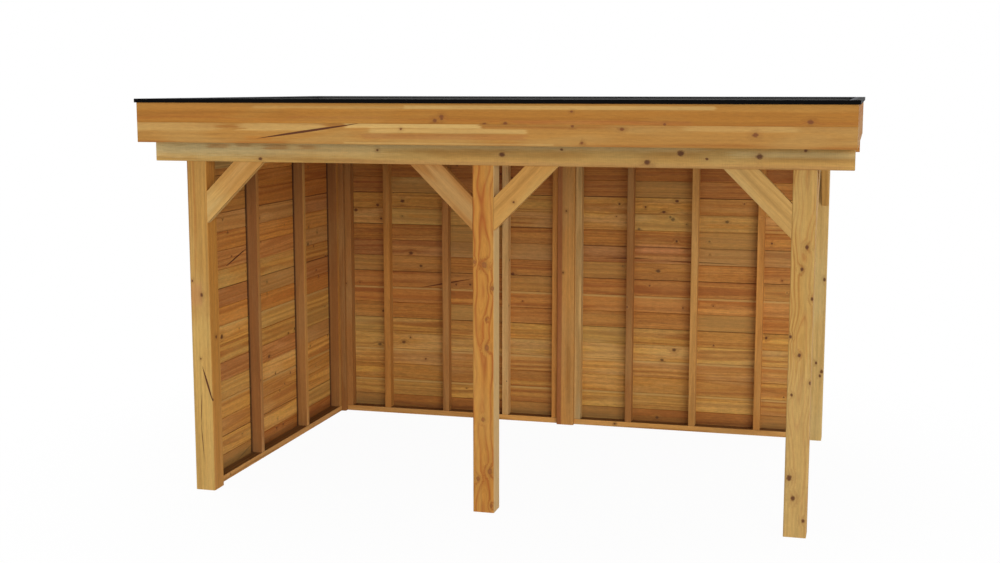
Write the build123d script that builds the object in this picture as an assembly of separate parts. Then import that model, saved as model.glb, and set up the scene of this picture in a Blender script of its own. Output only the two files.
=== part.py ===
from build123d import *
import os

# A freestanding timber veranda: six posts under a flat roof, a stud wall on the left,
# two at the back, and the front and the right side open.
# Millimetres, +Z up, the front faces -Y. The origin is on the ground under the roof's centre.

# Driving dimensions: the posts
width = 3600.0          # over the outer faces of the corner posts
depth = 2284.0
post_side = 122.0
post_height = 1978.0
arris = 4.0             # the eased corners of posts and beams

# Beams on the posts
beam_width = 120.0
beam_height = 115.0
beam_proud = 10.0       # how far the front and back beams stand out from the posts
beam_overhang = 188.0   # past the corner posts, at each side

# Braces between posts and beams
brace_leg = 362.0       # from the corner to the brace's lower edge
brace_width = 130.0
brace_thick = 45.0

# Wall panels between the posts
board_thick = 18.0
board_clear = 12.0      # the boards stop this far above the ground
stud_width = 45.0
stud_depth = 70.0
bottom_plate = 40.0
top_plate = 57.0
back_stud_pitch = 452.0
left_stud_offset = 376.0

# Roof
roof_overhang = 200.0   # the fascia's outer face, past the posts
joist_count = 10
joist_width = 45.0
joist_height = 145.0
deck_thick = 18.0
membrane_thick = 3.0
sheet_gap = 0.3         # between the turned-up sheets at the roof's corners
fascia_thick = 20.0
fascia_lower = 114.0
fascia_upper = 128.0
trim_cap = 5.0
trim_drop = 17.0        # the trim hangs this far below the fascia's top
trim_proud = 10.0
trim_flange = 60.0

# Places that follow
half_w = width / 2
half_d = depth / 2
post_x = half_w - post_side / 2
post_y = half_d - post_side / 2
beam_top = post_height + beam_height
fascia_x = half_w + roof_overhang
fascia_y = half_d + roof_overhang
inner_x = fascia_x - fascia_thick
inner_y = fascia_y - fascia_thick
fascia_join = beam_top + fascia_lower
fascia_top = fascia_join + fascia_upper
deck_bottom = beam_top + joist_height
deck_top = deck_bottom + deck_thick
membrane_top = deck_top + membrane_thick
trim_x = fascia_x + trim_proud
trim_y = fascia_y + trim_proud
wall_depth = board_thick + stud_depth


def block(x0, x1, y0, y1, z0, z1):
    """A plain cuboid between two corners."""
    size = Box(abs(x1 - x0), abs(y1 - y0), abs(z1 - z0))
    return Pos((x0 + x1) / 2, (y0 + y1) / 2, (z0 + z1) / 2) * size


def timber(x0, x1, y0, y1, z0, z1, along):
    """A sawn timber with its long edges eased."""
    solid = block(x0, x1, y0, y1, z0, z1)
    return chamfer(solid.edges().filter_by(along), arris)


def post(x, y):
    """One post, around its centre line."""
    half = post_side / 2
    return timber(x - half, x + half, y - half, y + half, 0, post_height, Axis.Z)


def brace_outline(face, way):
    """The brace's four corners, out from a post's face and up to the beam's underside."""
    upper_leg = brace_leg - brace_width * 2 ** 0.5
    return [
        (face, post_height - brace_leg),
        (face + way * brace_leg, post_height),
        (face + way * upper_leg, post_height),
        (face, post_height - upper_leg),
    ]


def front_brace(face, way):
    """A brace in the front of the frame, flush with the posts."""
    points = [(x, -half_d, z) for x, z in brace_outline(face, way)]
    outline = make_face(Polyline(points, close=True))
    return extrude(outline, amount=brace_thick, dir=(0, 1, 0))


def side_brace(face, way):
    """A brace in the open right side, flush with the posts."""
    points = [(half_w - brace_thick, y, z) for y, z in brace_outline(face, way)]
    outline = make_face(Polyline(points, close=True))
    return extrude(outline, amount=brace_thick, dir=(1, 0, 0))


def left_place(u0, u1, v0, v1, z0, z1):
    """A block in the left wall: u runs to the back, v inwards from the outer face."""
    return block(v0 - half_w, v1 - half_w, u0, u1, z0, z1)


def back_place(u0, u1, v0, v1, z0, z1):
    """A block in the back wall: u runs to the right, v inwards from the outer face."""
    return block(u0, u1, half_d - v0, half_d - v1, z0, z1)


def wall(name, place, start, end, middles):
    """A panel between two posts: plates, studs and the boards' sheet on the outside."""
    centres = [start + stud_width / 2, *middles, end - stud_width / 2]
    plate_under = post_height - top_plate
    half = stud_width / 2
    studs = [
        place(c - half, c + half, board_thick, wall_depth, bottom_plate, plate_under)
        for c in centres
    ]
    return {
        f"{name}_bottom_plate": place(start, end, board_thick, wall_depth, 0, bottom_plate),
        f"{name}_top_plate": place(start, end, board_thick, wall_depth, plate_under, post_height),
        f"{name}_studs": Compound(children=studs),
        f"{name}_boards": place(start, end, 0, board_thick, board_clear, post_height),
    }


def fascia(name, z0, z1):
    """One course of fascia boards; the front and back ones cover the ends of the others."""
    return {
        f"fascia_front_{name}": block(-fascia_x, fascia_x, -fascia_y, -inner_y, z0, z1),
        f"fascia_back_{name}": block(-fascia_x, fascia_x, inner_y, fascia_y, z0, z1),
        f"fascia_left_{name}": block(-fascia_x, -inner_x, -inner_y, inner_y, z0, z1),
        f"fascia_right_{name}": block(inner_x, fascia_x, -inner_y, inner_y, z0, z1),
    }


def trim_ring():
    """The edge trim all round: a flat cap with a lip down the fascia's face."""
    drop_z = fascia_top - trim_drop
    cap_z = fascia_top + trim_cap
    open_x = trim_x - trim_flange
    open_y = trim_y - trim_flange
    cap = block(-trim_x, trim_x, -trim_y, trim_y, fascia_top, cap_z)
    cap -= block(-open_x, open_x, -open_y, open_y, fascia_top, cap_z)
    lip = block(-trim_x, trim_x, -trim_y, trim_y, drop_z, fascia_top)
    lip -= block(-fascia_x, fascia_x, -fascia_y, fascia_y, drop_z, fascia_top)
    return cap + lip


def mitred(ring, corners):
    """The part of the ring over one four-cornered wedge."""
    low = fascia_top - trim_drop
    wedge = make_face(Polyline([(x, y, low) for x, y in corners], close=True))
    return ring & extrude(wedge, amount=trim_drop + trim_cap, dir=(0, 0, 1))


pieces = {}

# Posts
for side_name, x in (("left", -post_x), ("middle", 0.0), ("right", post_x)):
    pieces[f"post_front_{side_name}"] = post(x, -post_y)
    pieces[f"post_back_{side_name}"] = post(x, post_y)

# Beams: the front and back ones run past the corner posts, the side ones fit between them
beam_x = half_w + beam_overhang
beam_out = half_d + beam_proud
beam_in = beam_out - beam_width
pieces["beam_front"] = timber(-beam_x, beam_x, -beam_out, -beam_in, post_height, beam_top, Axis.X)
pieces["beam_back"] = timber(-beam_x, beam_x, beam_in, beam_out, post_height, beam_top, Axis.X)
side_in = half_w - beam_width
pieces["beam_left"] = timber(-half_w, -side_in, -beam_in, beam_in, post_height, beam_top, Axis.Y)
pieces["beam_right"] = timber(side_in, half_w, -beam_in, beam_in, post_height, beam_top, Axis.Y)

# Braces
post_inner_x = half_w - post_side
post_inner_y = half_d - post_side
pieces["brace_front_left"] = front_brace(-post_inner_x, 1)
pieces["brace_middle_left"] = front_brace(-post_side / 2, -1)
pieces["brace_middle_right"] = front_brace(post_side / 2, 1)
pieces["brace_front_right"] = front_brace(post_inner_x, -1)
pieces["brace_side_front"] = side_brace(-post_inner_y, 1)
pieces["brace_side_back"] = side_brace(post_inner_y, -1)

# Walls
left_middles = [-left_stud_offset, left_stud_offset]
right_bay = [back_stud_pitch * n for n in (1, 2, 3)]
left_bay = [-c for c in reversed(right_bay)]
pieces |= wall("wall_left", left_place, -post_inner_y, post_inner_y, left_middles)
pieces |= wall("wall_back_left", back_place, -post_inner_x, -post_side / 2, left_bay)
pieces |= wall("wall_back_right", back_place, post_side / 2, post_inner_x, right_bay)

# Roof: joists from front to back, boards on them and a membrane turned up at its edges
joist_end = inner_x - joist_width / 2
joist_pitch = 2 * joist_end / (joist_count - 1)
joists = []
for n in range(joist_count):
    x = n * joist_pitch - joist_end
    half = joist_width / 2
    joists.append(block(x - half, x + half, -inner_y, inner_y, beam_top, deck_bottom))
pieces["roof_joists"] = Compound(children=joists)
pieces["roof_deck"] = block(-inner_x, inner_x, -inner_y, inner_y, deck_bottom, deck_top)
pieces["roof_membrane"] = block(-inner_x, inner_x, -inner_y, inner_y, deck_top, membrane_top)
turn_x = inner_x - membrane_thick
turn_y = inner_y - membrane_thick
side_y = turn_y - sheet_gap
pieces["roof_upstand"] = Compound(children=[
    block(-inner_x, inner_x, -inner_y, -turn_y, membrane_top, fascia_top),
    block(-inner_x, inner_x, turn_y, inner_y, membrane_top, fascia_top),
    block(-inner_x, -turn_x, -side_y, side_y, membrane_top, fascia_top),
    block(turn_x, inner_x, -side_y, side_y, membrane_top, fascia_top),
])

# Fascia, in two courses
pieces |= fascia("lower", beam_top, fascia_join)
pieces |= fascia("upper", fascia_join, fascia_top)

# Edge trim, mitred at the corners
ring = trim_ring()
far = [(-trim_x, -trim_y), (trim_x, -trim_y), (trim_x, trim_y), (-trim_x, trim_y)]
step_in = trim_flange
near = [(x - step_in * x / trim_x, y - step_in * y / trim_y) for x, y in far]
for n, side_name in enumerate(("front", "right", "back", "left")):
    m = (n + 1) % 4
    pieces[f"trim_{side_name}"] = mitred(ring, [far[n], far[m], near[m], near[n]])

os.makedirs("parts", exist_ok=True)
for name, shape in pieces.items():
    export_step(shape, f"parts/{name}.step")
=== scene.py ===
"""The looks of a freestanding timber veranda, in metres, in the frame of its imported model."""
import math

import bmesh
import bpy
from mathutils import Euler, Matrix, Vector


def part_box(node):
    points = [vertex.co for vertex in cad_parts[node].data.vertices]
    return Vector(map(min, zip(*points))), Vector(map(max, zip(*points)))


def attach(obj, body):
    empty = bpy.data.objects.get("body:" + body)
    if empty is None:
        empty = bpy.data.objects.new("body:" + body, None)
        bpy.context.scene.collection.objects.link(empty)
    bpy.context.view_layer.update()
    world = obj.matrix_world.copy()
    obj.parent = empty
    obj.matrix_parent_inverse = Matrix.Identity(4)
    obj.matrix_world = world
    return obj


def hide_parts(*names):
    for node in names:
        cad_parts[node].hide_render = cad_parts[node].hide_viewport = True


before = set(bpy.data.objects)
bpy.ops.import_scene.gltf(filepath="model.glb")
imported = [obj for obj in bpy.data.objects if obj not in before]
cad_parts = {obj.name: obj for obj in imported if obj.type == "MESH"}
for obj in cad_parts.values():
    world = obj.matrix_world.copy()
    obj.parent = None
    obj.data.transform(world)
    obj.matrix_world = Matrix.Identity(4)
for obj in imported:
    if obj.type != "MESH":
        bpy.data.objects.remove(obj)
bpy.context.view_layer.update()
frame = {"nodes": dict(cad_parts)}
nodes = frame["nodes"]
scene = bpy.context.scene

# Tongued and grooved boards of the walls and of the roof's deck
WALL_ROWS = 17
WALL_RISE = 0.1163
DECK_ROWS = 23
BOARD_GAP = 0.0014
BOARD_EDGE = 0.0024
TONGUE_THICK = 0.006
TONGUE_REACH = 0.0065
GROOVE_SPARE = 0.0005

# How far sawn edges and the trim's folds are eased
EASED = 0.0015
TRIM_EASED = 0.0012

# The trim's cap is painted grey inwards of a line, counted outwards from the roof sheet's edge: a
# painted reflection of the sky
TRIM_REFLECTION = 0.004
TRIM_REFLECTION_BLUR = 0.016

# Each way of the grain, with the way across a timber's face and the way into it
HALF = math.sqrt(0.5)
GRAINS = {
    "x": ((1, 0, 0), (0, 0, 1), (0, 1, 0)),
    "y": ((0, 1, 0), (0, 0, 1), (1, 0, 0)),
    "z": ((0, 0, 1), (1, 0, 0), (0, 1, 0)),
    "rising": ((HALF, 0, HALF), (-HALF, 0, HALF), (0, 1, 0)),
    "falling": ((HALF, 0, -HALF), (HALF, 0, HALF), (0, 1, 0)),
    "rising_back": ((0, HALF, HALF), (0, -HALF, HALF), (1, 0, 0)),
    "falling_back": ((0, HALF, -HALF), (0, HALF, HALF), (1, 0, 0)),
    "flat": ((1, 0, 0), (0, 1, 0), (0, 0, 1)),
}


def paint(red, green, blue):
    """A colour as a screen shows it, 0 to 255 a channel, in linear values."""
    linear = [
        share / 12.92 if share <= 0.04045 else ((share + 0.055) / 1.055) ** 2.4
        for share in (red / 255, green / 255, blue / 255)
    ]
    return (*linear, 1.0)


def tone(middle, patch, early=(1.15, 1.15, 1.15), late=(0.80, 0.74, 0.68)):
    """Early wood, late wood and patches around one middle colour."""
    pale, dark = (
        (*(value * share for value, share in zip(middle, shares)), 1.0)
        for shares in (early, late)
    )
    return pale, dark, patch


def board_tone(middle, patch):
    """Boards go from greenish early wood to reddish late wood."""
    return tone(middle, patch, (1.15, 1.26, 1.14), (0.84, 0.73, 0.62))


TONES = {
    "honey": tone(paint(190, 143, 70), paint(196, 156, 88)),
    "amber": tone(paint(192, 132, 53), paint(196, 146, 72)),
    "straw": tone(paint(198, 154, 80), paint(204, 168, 98)),
    "cream": tone(paint(212, 176, 106), paint(214, 186, 122)),
    "beam": tone(paint(199, 155, 82), paint(204, 168, 98)),
    "orange": tone(paint(169, 113, 39), paint(176, 126, 54)),
    "gold": tone(paint(171, 122, 54), paint(182, 141, 76)),
    "brace tan": tone(paint(173, 120, 57), paint(186, 144, 84)),
    "brace gold": tone(paint(190, 140, 69), paint(196, 154, 84)),
    "brace pale": tone(paint(194, 152, 84), paint(200, 166, 104)),
    "tan": tone(paint(194, 134, 62), paint(200, 150, 82)),
    "umber": tone(paint(170, 116, 58), paint(176, 134, 78)),
    "stud brown": tone(paint(190, 132, 68), paint(190, 150, 92)),
    "stud pale": tone(paint(224, 180, 114), paint(226, 190, 130)),
    "stud grey": tone(paint(200, 162, 100), paint(190, 168, 122)),
    "sill": tone(paint(206, 152, 80), paint(210, 164, 98)),
    "russet": tone(paint(200, 144, 72), paint(204, 156, 90)),
    "board brown": board_tone(paint(167, 110, 49), paint(176, 124, 62)),
    "board umber": board_tone(paint(152, 95, 38), paint(164, 108, 50)),
    "board rose": board_tone(paint(160, 107, 56), paint(172, 124, 74)),
    "board orange": board_tone(paint(178, 119, 54), paint(186, 134, 70)),
    "board honey": board_tone(paint(176, 126, 59), paint(186, 144, 80)),
    "board pale": board_tone(paint(182, 132, 66), paint(192, 152, 92)),
    "board green": board_tone(paint(166, 118, 56), paint(170, 136, 74)),
}
KNOT_DARK = paint(84, 38, 4)
KNOT_BROWN = paint(118, 62, 20)
KNOT_RIM = paint(118, 70, 28)
KNOT_TAN = paint(150, 88, 38)
SPLIT_DARK = paint(88, 42, 8)
SHADE_DARK = paint(34, 16, 6)
GREYED = paint(222, 200, 142)
RESIN = paint(176, 108, 30)
RUST = paint(164, 88, 27)
UMBER = paint(132, 74, 32)
BLUSH = paint(190, 130, 80)
CREAM = paint(206, 168, 100)
MOSSY = paint(184, 160, 92)
FOXED = paint(158, 92, 48)

# A stained timber's soft sheen, the depth of its relief and how much darker its sawn ends are
WOOD_SHEEN = 0.3
WOOD_LIFT = 0.0008
END_SHADE = 0.25

# Noise in wood: its pitch along the grain, its pitch across, and a number that sets it apart
SIDE_WANDER = (1.4, 0.5, 0.0)
DOWN_WANDER = (1.8, 0.5, 11.0)
RIPPLES = (0.25, 0.045, 23.0)
STREAKS = (0.7, 0.013, 3.0)
FIBRES = (0.07, 0.0016, 7.0)
CLOUDS = (0.6, 0.11, 13.0)
SPECKS = (0.035, 0.008, 61.0)
KNOT_EDGES = (0.011, 0.007, 51.0)
PATCH_EDGES = (0.12, 0.006, 41.0)

# Growth rings and the wider bands among them, and the saw's marks, which lie aslant
RING_PITCH = 0.0058
RIPPLE_HEIGHT = 0.006
BANDS_PER_METRE = 70
SAW_PITCH = 0.0042
SAW_SLANT = 0.12

# Knots: cells for those left to chance, their least radius and how far it varies, and how
# much longer a knot is along the grain. A hidden or missing one counts as many radii away
KNOT_CELL = 0.11
KNOT_RADIUS = 0.004
KNOT_SPREAD = 0.006
KNOT_LENGTH = 1.3
HIDDEN = 9
MISSING = 20

# How deep below a face its placed knots, splits and patches fade out and are still full. A
# knot on a post's right side fades towards the post's middle
FACE_DEPTH = 0.022
FACE_FULL = 0.006
SIDE_FADE = 0.03
SIDE_FULL = 0.05

# Where a post's side takes its own tone, and where painted shade starts on a sill's top and on a
# stud's front, from the middle
POST_SIDE = 0.0585
SILL_TOP = 0.0175
STUD_FRONT = 0.0205

# How far a dark joint and a board's pale upper edge reach, and how much of a board's
# thickness is its inner side
JOINT_REACH = 0.005
PALE_REACH = 0.02
INNER_SIDE = 0.009

# Inputs and output of a node that mixes two colours
MIX_FIRST = 6
MIX_SECOND = 7
MIX_RESULT = 2

# Roof sheet and trim: how many of each there are to a metre, the creases in each direction
DUST_CLOUDS = 5.0
DUST_GRIT = 160.0
CREASES = (0.9, 4.0, 1.0)
ORANGE_PEEL = 500.0
WORN_SPOTS = 6.0

# Light, floor and camera. Angles are in degrees, and the camera is as solved from the photo.
# The floor looks whiter from FLOOR_NEAR on and wholly white from FLOOR_FAR on
SKY_LIGHT = 0.72
LAMP_LIGHT = 1.55
LAMP_SPREAD = 40
LAMP_TILT = 85
LAMP_TURN = 32
FLOOR_REACH = 40
FLOOR_WHITE = 0.96
FLOOR_NEAR = 1.5
FLOOR_FAR = 4.0
EYE_PLACE = (2.0789, -8.5369, 2.3994)
EYE_TILT = 82.08
EYE_TURN = 15.0
EYE_LENS = 50.05
EYE_SENSOR = 36


class Value:
    """A socket of some nodes, which takes part in sums as a number does."""

    def __init__(self, nodes, socket):
        self.nodes = nodes
        self.socket = socket

    def __add__(self, other):
        return self.nodes.maths("ADD", self, other)

    def __radd__(self, other):
        return self.nodes.maths("ADD", other, self)

    def __sub__(self, other):
        return self.nodes.maths("SUBTRACT", self, other)

    def __rsub__(self, other):
        return self.nodes.maths("SUBTRACT", other, self)

    def __mul__(self, other):
        return self.nodes.maths("MULTIPLY", self, other)

    def __rmul__(self, other):
        return self.nodes.maths("MULTIPLY", other, self)

    def __truediv__(self, other):
        return self.nodes.maths("DIVIDE", self, other)

    def __pow__(self, other):
        return self.nodes.maths("POWER", self, other)


class Nodes:
    """A tree of shader nodes while it is laid out."""

    def __init__(self, tree):
        self.tree = tree

    def feed(self, socket, value):
        """Gives a socket a link or a plain value."""
        if isinstance(value, Value):
            self.tree.links.new(value.socket, socket)
        else:
            socket.default_value = value

    def node(self, kind, settings=None, values=None, output=0):
        """Adds a node: its settings first, then a value or a link for each of its sockets."""
        made = self.tree.nodes.new(kind)
        for name, setting in (settings or {}).items():
            if name == "stops":
                self.lay_stops(made.color_ramp, setting)
            else:
                setattr(made, name, setting)
        for name, value in (values or {}).items():
            self.feed(made.inputs[name], value)
        return Value(self, made.outputs[output]) if len(made.outputs) else None

    @staticmethod
    def lay_stops(ramp, colours):
        """Equal steps of plain colour from 0 to 1."""
        ramp.interpolation = "CONSTANT"
        ramp.elements.remove(ramp.elements[1])
        ramp.elements[0].position = 0.0
        ramp.elements[0].color = colours[0]
        for n, colour in enumerate(colours[1:], 1):
            ramp.elements.new(n / len(colours)).color = colour

    def maths(self, operation, *numbers):
        return self.node("ShaderNodeMath", {"operation": operation}, dict(enumerate(numbers)))

    def vector(self, x, y, z):
        return self.node("ShaderNodeCombineXYZ", None, {0: x, 1: y, 2: z})

    def dot(self, first, second):
        values = {0: first, 1: second}
        return self.node("ShaderNodeVectorMath", {"operation": "DOT_PRODUCT"}, values, "Value")

    def length(self, vector):
        return self.node("ShaderNodeVectorMath", {"operation": "LENGTH"}, {0: vector}, "Value")

    def scaled(self, vector, amount):
        """A colour made lighter or darker, or a place made larger."""
        values = {0: vector, "Scale": amount}
        return self.node("ShaderNodeVectorMath", {"operation": "SCALE"}, values)

    def blend(self, share, first, second):
        """One colour passing into another as share goes from 0 to 1."""
        values = {0: share, MIX_FIRST: first, MIX_SECOND: second}
        return self.node("ShaderNodeMix", {"data_type": "RGBA"}, values, MIX_RESULT)

    def step(self, value, start, end):
        """From 0 at start to 1 at end, eased at both."""
        values = {"Value": value, "From Min": start, "From Max": end}
        return self.node("ShaderNodeMapRange", {"interpolation_type": "SMOOTHSTEP"}, values)

    def noise(self, at, detail=2.0):
        return self.node("ShaderNodeTexNoise", None, {"Vector": at, "Scale": 1.0, "Detail": detail})

    def noise_line(self, at, detail=2.0):
        settings = {"noise_dimensions": "1D"}
        return self.node("ShaderNodeTexNoise", settings, {"W": at, "Scale": 1.0, "Detail": detail})

    def chance(self, number):
        return self.node("ShaderNodeTexWhiteNoise", {"noise_dimensions": "1D"}, {"W": number})

    def attribute(self, name, output="Fac"):
        return self.node("ShaderNodeAttribute", {"attribute_name": name}, output=output)


class Finish(Nodes):
    """A material while its nodes are laid out."""

    def __init__(self, name, sheen):
        self.material = bpy.data.materials.new(name)
        self.material.use_nodes = True
        super().__init__(self.material.node_tree)
        self.shader = self.tree.nodes["Principled BSDF"]
        self.shader.inputs["Specular IOR Level"].default_value = sheen

    def done(self, colour, roughness, relief, lift=WOOD_LIFT):
        """Ties colour, roughness and relief to the shader. Relief of 1 stands lift metres high."""
        self.feed(self.shader.inputs["Base Color"], colour)
        self.feed(self.shader.inputs["Roughness"], roughness)
        bump = self.node("ShaderNodeBump", None, {"Distance": lift, "Height": relief})
        self.feed(self.shader.inputs["Normal"], bump)
        return self.material


# Wood
class Timber:
    """Where a point lies in its timber: along the grain, across the face and into it."""

    def __init__(self, look, along, across, deep, own, seed, pith):
        self.look = look
        self.along = along
        self.across = across
        self.deep = deep
        self.own = own
        self.seed = seed
        self.pith = pith

    def noise(self, along_pitch, across_pitch, salt, detail=2.0, stretch=1.0):
        """Noise drawn out along the grain, another in each timber."""
        place = self.look.vector(
            self.along / (along_pitch * stretch) + self.own * 37 + self.seed + salt,
            self.across / across_pitch,
            self.deep / across_pitch + salt,
        )
        return self.look.noise(place, detail)

    def heart(self, drift, wave):
        """How far a point lies from the heart, which wanders along the timber."""
        aside = self.noise(*SIDE_WANDER, 1.0, wave) - 0.5
        below = self.noise(*DOWN_WANDER, 1.0, wave) - 0.5
        ripple = self.noise(*RIPPLES, 1.0) - 0.5
        side = self.across - self.pith[0] - aside * (2 * drift)
        down = self.deep - self.pith[1] - below * (2 * drift)
        return self.look.maths("SQRT", side * side + down * down) + ripple * RIPPLE_HEIGHT

    def stray_knots(self, share):
        """How far from a knot left to chance, counted in its radius."""
        look = self.look
        place = look.vector(
            self.along / KNOT_CELL + self.own * 13 + self.seed,
            (self.across + self.deep) / KNOT_CELL + self.own * 5,
            0.0,
        )
        settings = {"voronoi_dimensions": "2D"}
        values = {"Vector": place, "Scale": 1.0, "Randomness": 0.9}
        away = look.node("ShaderNodeTexVoronoi", settings, values, "Distance") * KNOT_CELL
        pick = look.node("ShaderNodeTexVoronoi", settings, values, "Color")
        chance, size = (look.node("ShaderNodeSeparateColor", None, {0: pick}, n) for n in range(2))
        there = look.step(chance, share + 0.01, share)
        return away / (size * KNOT_SPREAD + KNOT_RADIUS) + (1 - there) * MISSING

    def knot_on_face(self, along, across, radius, shown):
        """How far from a knot placed on the face, counted in its radius."""
        long = radius * KNOT_LENGTH
        flat = self.look.vector((self.along - along) / long, (self.across - across) / radius, 0.0)
        return self.look.length(flat) + (1 - shown) * HIDDEN

    def knot_on_side(self, along, deep, radius):
        """The same on a post's right side."""
        flat = self.look.vector((self.along - along) / radius, (self.deep - deep) / radius, 0.0)
        return self.look.length(flat) + self.look.step(self.across, SIDE_FULL, SIDE_FADE) * HIDDEN

    def split(self, start, end, wide):
        """1 on a drying split from start to end, which narrows to both."""
        run = (end[0] - start[0], end[1] - start[1])
        length = math.hypot(*run)
        from_along = self.along - start[0]
        from_across = self.across - start[1]
        share = (from_along * run[0] + from_across * run[1]) / length ** 2
        aside = self.look.maths("ABSOLUTE", (from_along * run[1] - from_across * run[0]) / length)
        width = share * (1 - share) * (4 * wide)
        return self.look.step(aside - width, 0.0008, -0.0008)

    def patch(self, along_from, along_to, across_from, across_to, blur):
        """1 inside a soft-edged stretch of the face, which fades slower along the grain."""
        look = self.look
        loose = (self.noise(*PATCH_EDGES) - 0.5) * blur
        along = self.along + loose * 12
        across = self.across + loose
        ends = look.step(along, along_from, along_from + blur * 5)
        ends = ends * look.step(along, along_to, along_to - blur * 5)
        sides = look.step(across, across_from, across_from + blur)
        return ends * sides * look.step(across, across_to, across_to - blur)


def wood(
    timber,
    tones,
    face=None,          # how deep the face with the placed knots, splits and patches lies
    drift=0.03,         # how far the heart wanders
    wave=1.0,           # over how long a stretch, 1 being a metre or more
    band=1.0,           # how far early and late wood part
    line=0.3,           # how dark the rings are
    flames=None,        # flame grain: its pitch, share and stain
    blotch=0.5,         # share of the third tone, in clouds
    bright=1.0,
    uneven=0.3,         # how far streaks differ in brightness
    speckle=0.3,        # and short specks
    sawn=0.3,           # how far the saw's marks show
    stray=0.1,          # share of cells with a knot left to chance
    knots=(),           # along, across, radius
    side_knots=(),      # along, deep, radius
    eye=KNOT_DARK,      # colour of the knots' middle
    bow=0.007,          # how far rings bow round a knot
    splits=(),          # start, end, width
    patches=(),         # along from and to, across from and to, blur, stain or painted shade, share
    side_stain=None,    # where it starts, its tone or painted shade, share
    front_stain=None,   # the same, for painted shade on the front
):
    """Colour, roughness and relief of sawn wood."""
    look = timber.look
    early, late, patch = tones
    heart = timber.heart(drift, wave)
    shown = 1.0
    if face is not None:
        shown = look.step(look.maths("ABSOLUTE", timber.deep - face), FACE_DEPTH, FACE_FULL)

    near = timber.stray_knots(stray)
    placed = [timber.knot_on_face(*each, shown) for each in knots]
    placed += [timber.knot_on_side(*each) for each in side_knots]
    for each in placed:
        near = look.maths("MINIMUM", near, each)
    near = near * (0.6 + timber.noise(*KNOT_EDGES, 1.0) * 0.8)
    knot = look.step(near, 1.3, 0.6)
    core = look.step(near, 1.0, 0.4)
    halo = look.step(near, 4.0, 0.8)
    heart = heart + halo * bow

    growth = look.noise_line(heart * BANDS_PER_METRE + timber.own * 11 + timber.seed)
    wide_bands = look.step(growth, 0.36, 0.66)
    rings = look.maths("FRACT", heart / RING_PITCH) ** 3
    streak = timber.noise(*STREAKS, 1.0) - 0.5
    fibre = timber.noise(*FIBRES) - 0.5
    cloud = look.step(timber.noise(*CLOUDS), 0.46, 0.66)
    marks = (timber.along + timber.across * SAW_SLANT) / SAW_PITCH + timber.seed
    saw = look.noise_line(marks, 1.0) - 0.5

    colour = look.blend(wide_bands * band + (0.5 - 0.5 * band), early, late)
    colour = look.blend(rings * line, colour, late)
    if flames:
        pitch, share, stain = flames
        phase = look.maths("FRACT", heart / pitch + timber.own)
        flame = (1 - look.maths("ABSOLUTE", phase * 2 - 1)) ** 3
        colour = look.blend(flame * share, colour, stain)
    colour = look.blend(cloud * blotch, colour, patch)
    for along_from, along_to, across_from, across_to, blur, stain, share in patches:
        area = timber.patch(along_from, along_to, across_from, across_to, blur)
        colour = look.blend(area * share * shown, colour, stain)
    # A side's own tone or painted shade, and painted shade on a front
    for edge, reach, stain in ((timber.across, 1, side_stain), (timber.deep, -1, front_stain)):
        if stain:
            start, tint, share = stain
            colour = look.blend(look.step(edge * reach, start, start + 0.002) * share, colour, tint)
    speck = timber.noise(*SPECKS, 3.0) - 0.5
    light = bright + streak * uneven + fibre * 0.3 + speck * speckle + saw * (sawn * 0.25)
    light = light + (timber.own - 0.5) * 0.14
    colour = look.scaled(colour, light)
    colour = look.blend(halo * 0.2, colour, KNOT_RIM)
    colour = look.blend(knot * 0.9, colour, look.blend(core, KNOT_RIM, eye))
    relief = fibre * 0.6 + rings * 0.3 + knot * 0.35 + saw * sawn
    for start, end, wide in splits:
        crack = timber.split(start, end, wide) * shown
        colour = look.blend(crack, colour, SPLIT_DARK)
        relief = relief - crack * 2
    return colour, 0.62 + wide_bands * 0.1 - knot * 0.1, relief


def end_grain(look, colour, way):
    """Sawn ends drink more stain, so they are darker."""
    normal = look.node("ShaderNodeNewGeometry", output="Normal")
    facing = look.maths("ABSOLUTE", look.dot(normal, way))
    return look.scaled(colour, 1 - look.step(facing, 0.75, 0.95) * END_SHADE)


def counted_from(centre, features):
    """A timber's features, counted from its own centre."""
    along, across, deep = centre
    counted = dict(features)
    for name in ("knots", "side_knots"):
        other = across if name == "knots" else deep
        counted[name] = [(k[0] - along, k[1] - other, k[2]) for k in features.get(name, ())]
    counted["splits"] = [
        ((start[0] - along, start[1] - across), (end[0] - along, end[1] - across), wide)
        for start, end, wide in features.get("splits", ())
    ]
    counted["patches"] = [
        (p[0] - along, p[1] - along, p[2] - across, p[3] - across, *p[4:])
        for p in features.get("patches", ())
    ]
    return counted


def timber_finish(name, grain, tones, seed, pith=(0.03, 0.07), node=None, loose=False, **features):
    """The finish of a kept node's timber, or of loose timbers that carry their own places."""
    look = Finish(name, WOOD_SHEEN)
    ways = GRAINS[grain]
    centre = (0.0, 0.0, 0.0)
    if node:
        low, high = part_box(node)
        centre = [((low + high) / 2).dot(Vector(way)) for way in ways]
        features = counted_from(centre, features)
        features["face"] = -abs((high - low).dot(Vector(ways[2]))) / 2
    if loose:
        place = look.attribute("local", "Vector")
        along, across, deep = (look.dot(place, way) for way in ways)
    else:
        place = look.node("ShaderNodeTexCoord", output="Object")
        along, across, deep = (look.dot(place, way) - c for way, c in zip(ways, centre))
    timber = Timber(look, along, across, deep, look.attribute("timber"), seed, pith)
    if isinstance(tones, str):
        shades = TONES[tones]
    else:
        order = look.attribute("order")
        stops = [[TONES[each][n] for each in tones] for n in range(3)]
        shades = [look.node("ShaderNodeValToRGB", {"stops": each}, {0: order}) for each in stops]
    colour, rough, relief = wood(timber, shades, **features)
    return look.done(end_grain(look, colour, ways[0]), rough, relief)


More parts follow.
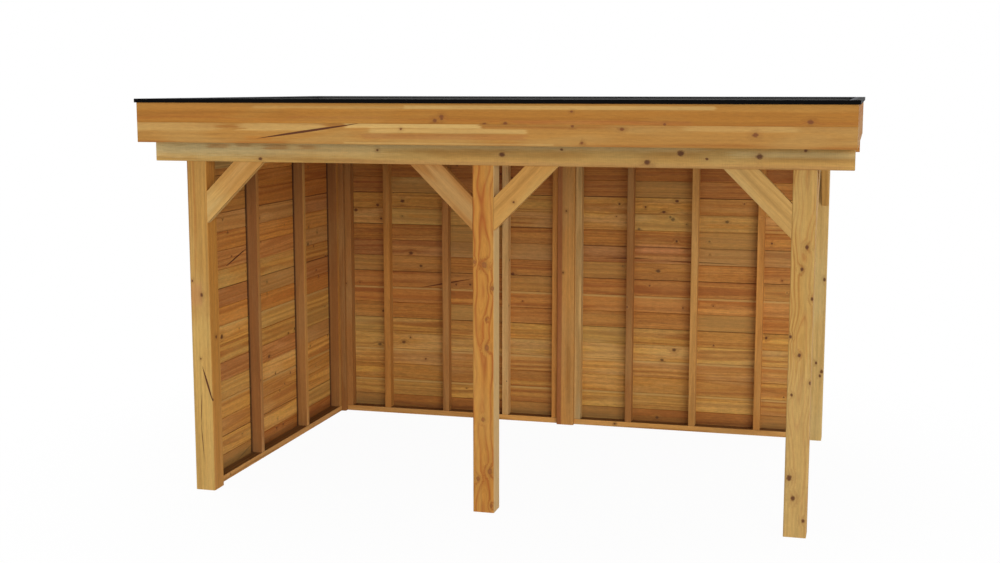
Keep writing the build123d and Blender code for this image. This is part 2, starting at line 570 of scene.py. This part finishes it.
def boards_finish(
    name,
    grain,
    start,              # where the first row starts
    rise,               # from one row to the next
    rows,               # each row's tone
    seed,
    face,
    joints=(),          # where another length of board starts, along the rows
    seams=(),           # painted shade in lines across the rows, where studs meet the boards: their place and half their width
    dark_joints=(),     # the joints that gape, counted in rows
    pale_joints=(),     # the joints below which the board's edge is pale
    **features,
):
    """The finish of rows of boards, where each board has its own tone and grain."""
    look = Finish(name, WOOD_SHEEN)
    place = look.node("ShaderNodeTexCoord", output="Object")
    ways = GRAINS[grain]
    along, across, deep = (look.dot(place, way) for way in ways)
    place_up = (across - start) / rise
    row = look.maths("FLOOR", place_up)
    bay = 0.0
    for joint in joints:
        bay = look.maths("GREATER_THAN", along, joint) + bay
    inside = look.step(look.maths("ABSOLUTE", deep - face), INNER_SIDE, INNER_SIDE - 0.001)
    part = row + bay * inside * 0.37 + seed
    own = look.chance(part + 0.5)
    stops = [[TONES[row_tone][n] for row_tone in rows] for n in range(3)]
    share = (row + 0.5) / len(rows)
    tones = [look.node("ShaderNodeValToRGB", {"stops": each}, {0: share}) for each in stops]
    middle = (row + 0.5) * rise + start
    pith = (middle + (look.chance(row + seed) - 0.5) * 0.11, own * 0.05 + (face + 0.03))
    timber = Timber(look, along, across, deep, own, seed, pith)
    colour, rough, relief = wood(timber, tones, face, **features)

    # Each length of board leans to red or to green, and some rows have a pale or a dark upper edge
    lean = look.chance(part + 0.25)
    colour = look.blend(look.step(lean, 0.55, 1.0) * 0.3, colour, FOXED)
    colour = look.blend(look.step(lean, 0.45, 0.0) * 0.3, colour, MOSSY)
    for number in pale_joints:
        top = start + number * rise
        edge = look.step(across, top - PALE_REACH, top - PALE_REACH + 0.009)
        edge = edge * look.step(across, top, top - 0.003)
        colour = look.blend(edge * 0.6, colour, CREAM)
    for number in dark_joints:
        off = look.maths("ABSOLUTE", across - (start + number * rise))
        gape = look.step(off, JOINT_REACH, 0.001) * (lean * 0.4 + 0.25)
        colour = look.blend(gape, colour, SHADE_DARK)
    # Painted shade on the inner side, in the corners where studs meet the boards
    for seam, half_width in seams:
        shade = look.step(look.maths("ABSOLUTE", along - seam), half_width, half_width * 0.6)
        colour = look.blend(shade * inside * 0.85, colour, SHADE_DARK)
    return look.done(end_grain(look, colour, ways[0]), rough, relief)


# Making pieces
def settle(mesh, name, material, node):
    """A finished mesh as a piece of the veranda, in place of a node."""
    piece = bpy.data.objects.new(name, mesh)
    scene.collection.objects.link(piece)
    mesh.materials.clear()
    mesh.materials.append(material)
    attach(piece, "root")
    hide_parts(node)


def dress(node, material):
    """A new finish for a node that keeps its shape."""
    nodes[node].data.materials.clear()
    nodes[node].data.materials.append(material)


def islands(bm):
    """The separate timbers of one mesh, as lists of points."""
    left = set(bm.verts)
    found = []
    while left:
        front = [left.pop()]
        group = []
        while front:
            vert = front.pop()
            group.append(vert)
            for edge in vert.link_edges:
                other = edge.other_vert(vert)
                if other in left:
                    left.remove(other)
                    front.append(other)
        found.append(group)
    return found


def corners(group):
    """The lowest and the highest corner of some points."""
    low = Vector([min(vert.co[n] for vert in group) for n in range(3)])
    high = Vector([max(vert.co[n] for vert in group) for n in range(3)])
    return low, high


def eased(node, material, ease=EASED):
    """A node's timbers with their sharp edges taken off, each with its own places and number."""
    bm = bmesh.new()
    bm.from_mesh(nodes[node].data)
    bmesh.ops.remove_doubles(bm, verts=bm.verts, dist=1e-5)
    bmesh.ops.dissolve_limit(bm, angle_limit=math.radians(1), verts=bm.verts, edges=bm.edges)
    bmesh.ops.bevel(bm, geom=bm.edges[:], offset=ease, segments=2, profile=0.5, affect="EDGES")
    local = bm.verts.layers.float_vector.new("local")
    number = bm.verts.layers.float.new("timber")
    order = bm.verts.layers.float.new("order")
    groups = sorted(islands(bm), key=lambda group: [round(c, 3) for c in corners(group)[0]])
    for n, group in enumerate(groups):
        low, high = corners(group)
        for vert in group:
            vert[local] = vert.co - (low + high) / 2
            vert[number] = (n * 0.618 + len(node) * 0.37) % 1
            vert[order] = (n + 0.5) / len(groups)
    mesh = bpy.data.meshes.new(node)
    bm.to_mesh(mesh)
    bm.free()
    settle(mesh, f"{node}_eased", material, node)


def board_section(thick, rise):
    """A tongued and grooved board's outline: its thickness, then its rise."""
    top = rise - BOARD_GAP
    tongue_low = (thick - TONGUE_THICK) / 2
    tongue_high = tongue_low + TONGUE_THICK
    groove_low = tongue_low - GROOVE_SPARE
    groove_high = tongue_high + GROOVE_SPARE
    groove_top = TONGUE_REACH + BOARD_GAP
    return [
        (0, BOARD_EDGE), (BOARD_EDGE, 0),
        (groove_low, 0), (groove_low, groove_top), (groove_high, groove_top), (groove_high, 0),
        (thick - BOARD_EDGE, 0), (thick, BOARD_EDGE),
        (thick, top - BOARD_EDGE), (thick - BOARD_EDGE, top),
        (tongue_high, top), (tongue_high, top + TONGUE_REACH),
        (tongue_low, top + TONGUE_REACH), (tongue_low, top),
        (BOARD_EDGE, top), (0, top - BOARD_EDGE),
    ]


def extruded(name, section, start, end, place):
    """A section drawn from start to end, with place turning its measures into a point."""
    bm = bmesh.new()
    near = [bm.verts.new(place(start, a, b)) for a, b in section]
    far = [bm.verts.new(place(end, a, b)) for a, b in section]
    count = len(section)
    bm.faces.new(near)
    bm.faces.new(reversed(far))
    for n in range(count):
        m = (n + 1) % count
        bm.faces.new((near[m], near[n], far[n], far[m]))
    bmesh.ops.recalc_face_normals(bm, faces=bm.faces)
    mesh = bpy.data.meshes.new(name)
    bm.to_mesh(mesh)
    bm.free()
    return mesh


def rows_tree():
    """Geometry Nodes that repeat one piece in even steps."""
    tree = bpy.data.node_groups.new("repeated_pieces", "GeometryNodeTree")
    sockets = (("Piece", "Object"), ("Finish", "Material"), ("Rows", "Int"), ("Row Step", "Vector"))
    for name, kind in sockets:
        tree.interface.new_socket(name=name, in_out="INPUT", socket_type=f"NodeSocket{kind}")
    tree.interface.new_socket(name="Pieces", in_out="OUTPUT", socket_type="NodeSocketGeometry")
    new = tree.nodes.new
    given = new("NodeGroupInput").outputs
    rows = new("GeometryNodeMeshLine")
    piece = new("GeometryNodeObjectInfo")
    copies = new("GeometryNodeInstanceOnPoints")
    real = new("GeometryNodeRealizeInstances")
    finish = new("GeometryNodeSetMaterial")
    out = new("NodeGroupOutput")
    links = (
        (given["Rows"], rows.inputs["Count"]),
        (given["Row Step"], rows.inputs["Offset"]),
        (rows.outputs[0], copies.inputs["Points"]),
        (given["Piece"], piece.inputs["Object"]),
        (piece.outputs["Geometry"], copies.inputs["Instance"]),
        (copies.outputs[0], real.inputs[0]),
        (real.outputs[0], finish.inputs["Geometry"]),
        (given["Finish"], finish.inputs["Material"]),
        (finish.outputs[0], out.inputs[0]),
    )
    for source, target in links:
        tree.links.new(source, target)
    return tree


ROWS_TREE = rows_tree()


def repeated(mesh, material, rows, row_step):
    """One mesh repeated in rows, as a plain mesh."""
    model = bpy.data.objects.new("model", mesh)
    holder = bpy.data.objects.new("holder", bpy.data.meshes.new("holder"))
    for helper in (model, holder):
        scene.collection.objects.link(helper)
    modifier = holder.modifiers.new("repeated", "NODES")
    modifier.node_group = ROWS_TREE
    given = {"Piece": model, "Finish": material, "Rows": rows, "Row Step": row_step}
    for item in ROWS_TREE.interface.items_tree:
        if item.name in given:
            modifier[item.identifier] = given[item.name]
    bpy.context.view_layer.update()
    graph = bpy.context.evaluated_depsgraph_get()
    made = bpy.data.meshes.new_from_object(holder.evaluated_get(graph))
    for helper in (holder, model):
        bpy.data.objects.remove(helper)
    return made


def cut_above(mesh, height):
    """Saws a mesh off at a height and closes the cut."""
    bm = bmesh.new()
    bm.from_mesh(mesh)
    geometry = bm.verts[:] + bm.edges[:] + bm.faces[:]
    cut = bmesh.ops.bisect_plane(
        bm, geom=geometry, plane_co=(0, 0, height), plane_no=(0, 0, 1), clear_outer=True
    )
    edges = [each for each in cut["geom_cut"] if isinstance(each, bmesh.types.BMEdge)]
    bmesh.ops.holes_fill(bm, edges=edges)
    bm.to_mesh(mesh)
    bm.free()


# The three walls of boards, whose rows are told from the ground up
BACK_ROWS = [f"board {name}" for name in (
    "umber", "honey", "honey", "pale", "pale", "honey", "brown", "orange", "brown",
    "brown", "rose", "brown", "pale", "honey", "brown", "umber", "brown",
)]
LEFT_ROWS = [f"board {name}" for name in (
    "umber", "honey", "honey", "honey", "pale", "rose", "green", "honey", "brown",
    "rose", "green", "rose", "brown", "rose", "umber", "umber", "brown",
)]


def wall_boards(node, grain, rows, seed, **features):
    """Boards across a whole bay, tongue up, sawn off under the beam."""
    low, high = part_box(node)
    deep_axis = 1 if grain == "x" else 0
    thick = high[deep_axis] - low[deep_axis]
    inner_face = low.y if grain == "x" else high.x
    finish = boards_finish(
        f"{node}_finish", grain, low.z, WALL_RISE, rows, seed, inner_face, **features
    )
    section = board_section(thick, WALL_RISE)
    if grain == "x":
        mesh = extruded(node, section, low.x, high.x, lambda a, t, r: (a, high.y - t, low.z + r))
    else:
        mesh = extruded(node, section, low.y, high.y, lambda a, t, r: (low.x + t, a, low.z + r))
    mesh = repeated(mesh, finish, WALL_ROWS, (0, 0, WALL_RISE))
    cut_above(mesh, high.z)
    settle(mesh, f"{node}_laid", finish, node)


BOARD_LOOK = dict(
    band=0.9, line=0.45, sawn=0.7, speckle=1.0, uneven=0.6, flames=(0.03, 0.5, UMBER)
)

# Painted shade: the back wall's boards are darkest at their foot
FOOT_SHADE = (-2.2, 2.2, -0.1, 0.09, 0.035, SHADE_DARK, 0.35)
wall_boards(
    "wall_back_left_boards", "x", BACK_ROWS, 3.0, **BOARD_LOOK, bright=1.24,
    joints=(-1.356, -0.904, -0.452), dark_joints=(6, 9, 12, 14), pale_joints=(2, 4, 8),
    knots=[
        (-1.251, 1.578, 0.013), (-1.446, 1.545, 0.010), (-1.616, 1.504, 0.012),
        (-1.189, 1.196, 0.013), (-1.112, 1.102, 0.010), (-1.250, 0.526, 0.012),
        (-1.440, 0.502, 0.012), (-0.416, 1.068, 0.012),
    ],
    splits=[((-1.137, 0.937), (-0.721, 1.020), 0.005)],
    patches=[
        (-1.30, -1.00, 1.70, 1.76, 0.02, CREAM, 0.3),
        (-1.24, -0.95, 1.45, 1.49, 0.012, RESIN, 0.6),
        FOOT_SHADE,
    ],
)
wall_boards(
    "wall_back_right_boards", "x", BACK_ROWS, 3.0, **BOARD_LOOK, bright=1.34,
    joints=(0.452, 0.904, 1.356), dark_joints=(6, 9, 11, 14), pale_joints=(2, 4, 8),
    knots=[
        (0.767, 1.620, 0.011), (0.677, 1.541, 0.010), (0.741, 1.490, 0.012),
        (1.116, 1.482, 0.010), (0.642, 1.124, 0.013), (0.764, 0.565, 0.012),
        (0.680, 0.488, 0.010), (0.651, 0.069, 0.011),
    ],
    splits=[((0.248, 1.204), (0.577, 1.212), 0.004), ((0.680, 1.197), (1.220, 1.189), 0.003)],
    patches=[
        (0.95, 1.30, 1.43, 1.47, 0.012, RESIN, 0.5),
        (0.45, 0.85, 1.24, 1.32, 0.02, BLUSH, 0.5),
        FOOT_SHADE,
    ],
)
wall_boards(
    "wall_left_boards", "y", LEFT_ROWS, 8.0, **BOARD_LOOK, bright=1.64, joints=(-0.376, 0.376),
    dark_joints=(2, 10, 14), pale_joints=(4, 8),
    # Painted shade where the studs meet the boards
    seams=[(-0.4045, 0.009), (0.3475, 0.009), (0.969, 0.009)],
    knots=[(-0.788, 0.873, 0.014), (-0.1, 0.62, 0.012), (0.6, 1.3, 0.011)],
    splits=[((-0.717, 1.300), (-0.397, 1.384), 0.005), ((-0.637, 0.042), (-0.381, 0.096), 0.004)],
    # Painted shade at the boards' foot, above the sill
    patches=[(-2.2, 2.2, -0.1, 0.10, 0.04, SHADE_DARK, 0.45)],
)

# The roof's deck, seen from below between the joists
low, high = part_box("roof_deck")
deck_rise = (high.y - low.y) / DECK_ROWS
DECK_TONES = ("honey", "gold", "tan", "straw", "honey", "brace tan", "gold")
deck_finish = boards_finish(
    "roof_deck_finish", "flat", low.y, deck_rise,
    [DECK_TONES[n * 4 % len(DECK_TONES)] for n in range(DECK_ROWS)],
    seed=12.0, face=low.z, stray=0.15,
)
deck_section = board_section(high.z - low.z, deck_rise)
deck = extruded(
    "roof_deck", deck_section, low.x, high.x, lambda a, t, r: (a, low.y + r, low.z + t)
)
deck = repeated(deck, deck_finish, DECK_ROWS, (0, deck_rise, 0))
settle(deck, "roof_deck_laid", deck_finish, "roof_deck")

# Posts and beams keep their solids
POSTS = {
    "post_front_left": dict(
        tones="honey", seed=1.0, pith=(0.02, 0.0), stray=0.0, band=0.5, blotch=0.6, line=0.35,
        flames=(0.024, 0.4, RUST), uneven=0.5,
        side_stain=(POST_SIDE, paint(206, 138, 54), 0.6),
        knots=[(1.271, -1.786, 0.006), (1.188, -1.728, 0.010), (0.804, -1.746, 0.005)],
        side_knots=[(0.927, -1.070, 0.011)],
        splits=[
            ((0.760, -1.738), (0.530, -1.671), 0.0055),
            ((0.600, -1.745), (0.400, -1.757), 0.002),
            ((0.420, -1.757), (0.190, -1.742), 0.002),
        ],
        patches=[
            (1.10, 1.28, -1.80, -1.72, 0.01, BLUSH, 0.5),
            (0.65, 0.90, -1.74, -1.68, 0.012, RESIN, 0.3),
            (-0.1, 1.08, -1.82, -1.66, 0.02, paint(212, 174, 98), 0.5),
        ],
    ),
    "post_front_middle": dict(
        tones="amber", seed=2.0, pith=(-0.004, -0.035), stray=0.0, drift=0.055, wave=0.24, line=0.3,
        band=0.3, bow=0.02, flames=(0.026, 1.0, RUST), eye=KNOT_TAN, sawn=0.1, bright=1.07,
        side_stain=(POST_SIDE, paint(216, 186, 128), 0.75),
        knots=[
            (1.439, -0.050, 0.008), (1.423, 0.008, 0.013), (1.293, 0.053, 0.010),
            (1.117, 0.019, 0.006), (0.956, 0.021, 0.012), (0.543, -0.002, 0.010),
            (0.243, 0.038, 0.012), (0.196, -0.032, 0.010), (0.042, 0.047, 0.008),
        ],
    ),
    "post_front_right": dict(
        tones="straw", seed=3.0, pith=(0.01, -0.03), stray=0.0, drift=0.05, wave=0.3, line=0.3,
        band=0.4, bow=0.012, flames=(0.015, 0.55, RUST),
        knots=[
            (1.575, 1.759, 0.010), (1.458, 1.737, 0.009), (1.302, 1.794, 0.008),
            (1.096, 1.688, 0.008), (0.999, 1.737, 0.009), (0.852, 1.797, 0.008),
            (0.783, 1.703, 0.007), (0.328, 1.703, 0.014), (0.217, 1.725, 0.012),
            (0.096, 1.783, 0.009),
        ],
        patches=[(-0.3, 1.1, 1.60, 1.90, 0.06, paint(212, 178, 112), 0.4)],
    ),
    "post_back_left": dict(tones="umber", seed=4.0),
    "post_back_middle": dict(
        tones="russet", seed=5.0,
        # Painted shadow over the left part of the post's front
        patches=[(-0.1, 2.1, -0.08, -0.022, 0.008, paint(166, 98, 50), 0.8)],
    ),
    "post_back_right": dict(
        tones="cream", seed=6.0, pith=(0.02, 0.0), stray=0.02, band=0.5, line=0.4,
        knots=[
            (1.116, 1.788, 0.010), (0.484, 1.788, 0.011), (0.453, 1.778, 0.009),
            (0.542, 1.750, 0.008),
        ],
    ),
}
for node, look in POSTS.items():
    dress(node, timber_finish(f"{node}_finish", "z", node=node, **look))

BEAMS = {
    "beam_front": dict(
        grain="x", tones="beam", seed=7.0, pith=(0.02, 0.06), stray=0.0, band=0.7, sawn=0.8,
        knots=[
            (-1.326, 1.997, 0.010), (-0.612, 2.054, 0.006), (0.111, 2.039, 0.014),
            (0.446, 2.070, 0.007), (1.092, 2.057, 0.016), (0.913, 2.008, 0.014),
            (1.230, 2.029, 0.007), (1.504, 2.045, 0.015), (1.739, 2.079, 0.008),
        ],
        patches=[
            (-2.4, -1.05, 1.985, 2.12, 0.08, GREYED, 0.7),
            (-2.4, -0.4, 1.985, 2.12, 0.08, GREYED, 0.5),
            (-1.2, 1.3, 2.05, 2.12, 0.03, GREYED, 0.4),
            (1.3, 2.1, 2.03, 2.08, 0.02, GREYED, 0.4),
            (-0.9, 2.0, 1.96, 2.01, 0.02, BLUSH, 0.3),
            (-1.68, -1.50, 2.05, 2.085, 0.01, RESIN, 0.5),
            (-1.50, -1.36, 2.06, 2.09, 0.008, RESIN, 0.4),
            (-1.33, -1.13, 2.045, 2.085, 0.01, RESIN, 0.5),
            (-1.11, -0.95, 2.05, 2.085, 0.01, RESIN, 0.45),
        ],
    ),
    "beam_back": dict(grain="x", tones="tan", seed=8.0),
    "beam_left": dict(grain="y", tones="tan", seed=9.0),
    "beam_right": dict(grain="y", tones="beam", seed=10.0),
}
for node, look in BEAMS.items():
    dress(node, timber_finish(f"{node}_finish", node=node, **look))

# Braces
BRACES = {
    "brace_front_left": dict(
        grain="rising", tones="brace pale", seed=11.0,
        patches=[(0.12, 0.70, -2.0, 3.0, 0.02, RESIN, 0.35)],
    ),
    "brace_middle_left": dict(
        grain="falling", tones="brace tan", seed=12.0, knots=[(-1.418, 0.987, 0.010)]
    ),
    "brace_middle_right": dict(grain="rising", tones="brace gold", seed=13.0),
    "brace_front_right": dict(grain="falling", tones="brace pale", seed=14.0),
    "brace_side_front": dict(grain="rising_back", tones="honey", seed=15.0),
    "brace_side_back": dict(grain="falling_back", tones="honey", seed=16.0),
}
for node, look in BRACES.items():
    finish = timber_finish(
        f"{node}_finish", node=node, loose=True, band=0.5, line=0.2, stray=0.04, blotch=0.7, **look
    )
    eased(node, finish)

# Wall frames, whose studs are told from the front or the left, and joists
STUD_TONES = {
    "wall_left": ("stud brown", "stud brown", "sill", "tan"),
    "wall_back_left": ("umber", "tan", "umber", "stud pale", "tan"),
    "wall_back_right": ("stud grey", "umber", "sill", "tan", "tan"),
}
for n, (wall, tones) in enumerate(STUD_TONES.items()):
    way = "y" if wall == "wall_left" else "x"
    features = dict(pith=(0.01, 0.05), loose=True, stray=0.05)
    stud_features = features | dict(band=0.8, sawn=0.6)
    if wall == "wall_left":
        # Painted shade: the left wall's studs are darker on their fronts, and darkest in a strip
        # where they meet the boards
        stud_features["front_stain"] = (STUD_FRONT, paint(130, 82, 42), 0.65)
        stud_features["patches"] = [(-1.2, 1.2, -0.06, -0.0265, 0.002, SHADE_DARK, 0.95)]
    studs = timber_finish(f"{wall}_studs_finish", "z", tones, 20.0 + n, **stud_features)
    sill = timber_finish(
        f"{wall}_sill_finish", way, "sill", 24.0 + n, **features,
        # Painted shade on the sill's top face
        side_stain=(SILL_TOP, paint(66, 36, 12), 0.75),
    )
    plate = timber_finish(f"{wall}_plate_finish", way, "cream", 28.0 + n, **features)
    eased(f"{wall}_studs", studs)
    eased(f"{wall}_bottom_plate", sill)
    eased(f"{wall}_top_plate", plate)
joist_finish = timber_finish(
    "roof_joists_finish", "y", "honey", 32.0, (0.02, 0.06), loose=True, stray=0.08
)
eased("roof_joists", joist_finish)

# Fascia, which shows most at the front. Each side's grain is another stretch of the same
FASCIA = {"lower": dict(tones="gold", seed=40.0), "upper": dict(tones="orange", seed=47.0)}
FASCIA_SIDE_STEP = 2.3
FASCIA_FRONT = {
    "lower": dict(
        knots=[
            (0.545, 2.201, 0.007), (0.809, 2.187, 0.009), (1.496, 2.163, 0.012),
            (-0.407, 2.180, 0.006),
        ],
        splits=[((-1.260, 2.120), (-0.640, 2.209), 0.006)],
        patches=[
            (-0.75, 0.055, 2.18, 2.215, 0.006, CREAM, 0.85),
            (-0.60, 0.31, 2.155, 2.184, 0.006, CREAM, 0.6),
            (-1.40, -0.80, 2.155, 2.215, 0.02, CREAM, 0.6),
            (-0.65, 0.32, 2.12, 2.157, 0.008, FOXED, 0.35),
            (-0.75, 0.45, 2.095, 2.108, 0.003, CREAM, 0.4),
            (1.10, 1.75, 2.17, 2.215, 0.015, CREAM, 0.4),
            (-1.35, -1.13, 2.105, 2.14, 0.01, RESIN, 0.45),
            (-2.1, -1.45, 2.15, 2.215, 0.02, CREAM, 0.35),
            (-0.75, -0.55, 2.12, 2.20, 0.02, RESIN, 0.25),
        ],
    ),
    "upper": dict(
        knots=[
            (-0.175, 2.248, 0.010), (-0.213, 2.226, 0.010), (0.539, 2.277, 0.006),
            (1.767, 2.229, 0.012), (1.031, 2.214, 0.007), (0.180, 2.213, 0.009),
            (0.065, 2.209, 0.008),
        ],
        patches=[
            (-2.1, 2.1, 2.27, 2.36, 0.02, paint(184, 132, 58), 0.5),
            (-0.4, 1.30, 2.285, 2.309, 0.004, CREAM, 0.55),
            (-1.3, -0.1, 2.285, 2.306, 0.008, CREAM, 0.3),
            (-1.1, -0.5, 2.23, 2.25, 0.008, FOXED, 0.2),
            (0.2, 1.2, 2.205, 2.235, 0.01, FOXED, 0.3),
        ],
    ),
}
for n, (side, way) in enumerate((("front", "x"), ("back", "x"), ("left", "y"), ("right", "y"))):
    for course, look in FASCIA.items():
        node = f"fascia_{side}_{course}"
        features = dict(
            pith=(0.0, 0.06), loose=True, band=0.5, line=0.2, flames=(0.03, 0.3, RUST),
            stray=0.05, sawn=0.2, eye=KNOT_BROWN,
        )
        features |= look | {"seed": look["seed"] + n * FASCIA_SIDE_STEP}
        if side == "front":
            features |= FASCIA_FRONT[course] | {"stray": 0.0, "node": node}
        eased(node, timber_finish(f"{node}_finish", way, **features))


# Roof sheet and edge trim
def past_sheet(look, place):
    """How far a point lies outside the roof sheet's edge, which is the inside of the fascia."""
    low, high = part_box("roof_membrane")
    away = [
        look.maths("ABSOLUTE", look.dot(place, way)) - reach
        for way, reach in (((1, 0, 0), high.x), ((0, 1, 0), high.y))
    ]
    return look.maths("MAXIMUM", *away)


def roof_sheet():
    """Black rubber sheet, dulled by clouds of dust and lightened towards its edges and up the
    upstand as painted light, with soft creases.
    """
    look = Finish("roof_sheet_finish", sheen=0.4)
    place = look.node("ShaderNodeTexCoord", output="Object")
    dust = look.noise(look.scaled(place, DUST_CLOUDS), 6.0)
    grit = look.noise(look.scaled(place, DUST_GRIT), 3.0)
    drawn = look.node("ShaderNodeVectorMath", {"operation": "MULTIPLY"}, {0: place, 1: CREASES})
    crease = look.noise(drawn, 3.0)
    edge = look.step(past_sheet(look, place) + (dust - 0.5) * 0.25, -0.16, -0.03)
    colour = look.blend(look.step(dust, 0.3, 0.8) * 0.6, paint(80, 82, 85), paint(98, 98, 98))
    # Painted light: the sheet turns lighter towards its edges and up the upstand, which lies in
    # shade under the trim's cap
    colour = look.blend(edge * 0.5, colour, paint(108, 105, 99))
    colour = look.scaled(colour, 0.9 + grit * 0.2)
    return look.done(colour, 0.5 + dust * 0.3, crease * 6 + grit * 0.3, lift=0.002)


def edge_trim():
    """Black powder coat with a fine orange peel, painted grey towards the roof as a reflection of
    the sky.
    """
    look = Finish("edge_trim_finish", sheen=0.02)
    place = look.node("ShaderNodeTexCoord", output="Object")
    peel = look.noise(look.scaled(place, ORANGE_PEEL), 1.0)
    worn = look.noise(look.scaled(place, WORN_SPOTS), 3.0)
    painted_reflection = look.step(past_sheet(look, place), TRIM_REFLECTION, TRIM_REFLECTION - TRIM_REFLECTION_BLUR)
    colour = look.blend(worn, paint(8, 7, 7), paint(15, 14, 14))
    # Painted reflection of the sky on the cap's inner part
    colour = look.blend(painted_reflection, colour, paint(78, 80, 84))
    return look.done(colour, 0.42 + worn * 0.15, peel, lift=0.00008)


sheet_finish = roof_sheet()
dress("roof_membrane", sheet_finish)
dress("roof_upstand", sheet_finish)
trim_finish = edge_trim()
for side in ("front", "back", "left", "right"):
    eased(f"trim_{side}", trim_finish, TRIM_EASED)


# Floor, light and camera
def white_where_seen(nodes, plain, shown):
    """One shader to light by, and another for what the camera, gloss and glass see straight."""
    seen = [
        nodes.node("ShaderNodeLightPath", output=f"Is {ray} Ray")
        for ray in ("Camera", "Glossy", "Transmission")
    ]
    share = nodes.maths("MAXIMUM", nodes.maths("MAXIMUM", seen[0], seen[1]), seen[2])
    return nodes.node("ShaderNodeMixShader", None, {0: share, 1: plain, 2: shown})


def lay_floor():
    """A wide pale floor that looks white and keeps the veranda's soft shadow."""
    bm = bmesh.new()
    bmesh.ops.create_grid(bm, x_segments=1, y_segments=1, size=FLOOR_REACH)
    mesh = bpy.data.meshes.new("floor")
    bm.to_mesh(mesh)
    bm.free()
    piece = bpy.data.objects.new("floor", mesh)
    scene.collection.objects.link(piece)
    material = bpy.data.materials.new("floor_finish")
    material.use_nodes = True
    material.node_tree.nodes.clear()
    floor = Nodes(material.node_tree)
    plain = floor.node("ShaderNodeBsdfDiffuse", None, {"Color": (0.85, 0.85, 0.85, 1)})
    pale = floor.node("ShaderNodeBsdfDiffuse", None, {"Color": (0.95, 0.95, 0.95, 1)})
    white = floor.node("ShaderNodeEmission", None, {"Strength": 1.0})
    place = floor.node("ShaderNodeTexCoord", output="Object")
    far = floor.step(floor.length(place), FLOOR_NEAR, FLOOR_FAR)
    share = FLOOR_WHITE + far * (1 - FLOOR_WHITE)
    shown = floor.node("ShaderNodeMixShader", None, {0: share, 1: pale, 2: white})
    floor.node("ShaderNodeOutputMaterial", None, {0: white_where_seen(floor, plain, shown)})
    mesh.materials.append(material)


def light_up():
    """An even white sky, and a broad soft lamp from the front and the right."""
    world = bpy.data.worlds.new("studio")
    scene.world = world
    world.use_nodes = True
    world.node_tree.nodes.clear()
    sky = Nodes(world.node_tree)
    white = (1.0, 1.0, 1.0, 1.0)
    plain = sky.node("ShaderNodeBackground", None, {"Color": white, "Strength": SKY_LIGHT})
    shown = sky.node("ShaderNodeBackground", None, {"Color": white, "Strength": 1.0})
    sky.node("ShaderNodeOutputWorld", None, {0: white_where_seen(sky, plain, shown)})
    sun = bpy.data.lights.new("front_lamp", "SUN")
    sun.energy = LAMP_LIGHT
    sun.angle = math.radians(LAMP_SPREAD)
    lamp = bpy.data.objects.new("front_lamp", sun)
    lamp.rotation_euler = Euler((math.radians(LAMP_TILT), 0, math.radians(LAMP_TURN)))
    scene.collection.objects.link(lamp)


def set_camera():
    """The eye of the photograph."""
    eye = bpy.data.cameras.new("camera")
    eye.sensor_width = EYE_SENSOR
    eye.lens = EYE_LENS
    holder = bpy.data.objects.new("camera", eye)
    holder.location = EYE_PLACE
    holder.rotation_euler = Euler((math.radians(EYE_TILT), 0, math.radians(EYE_TURN)))
    scene.collection.objects.link(holder)
    scene.camera = holder


lay_floor()
light_up()
set_camera()
scene.view_settings.view_transform = "Standard"
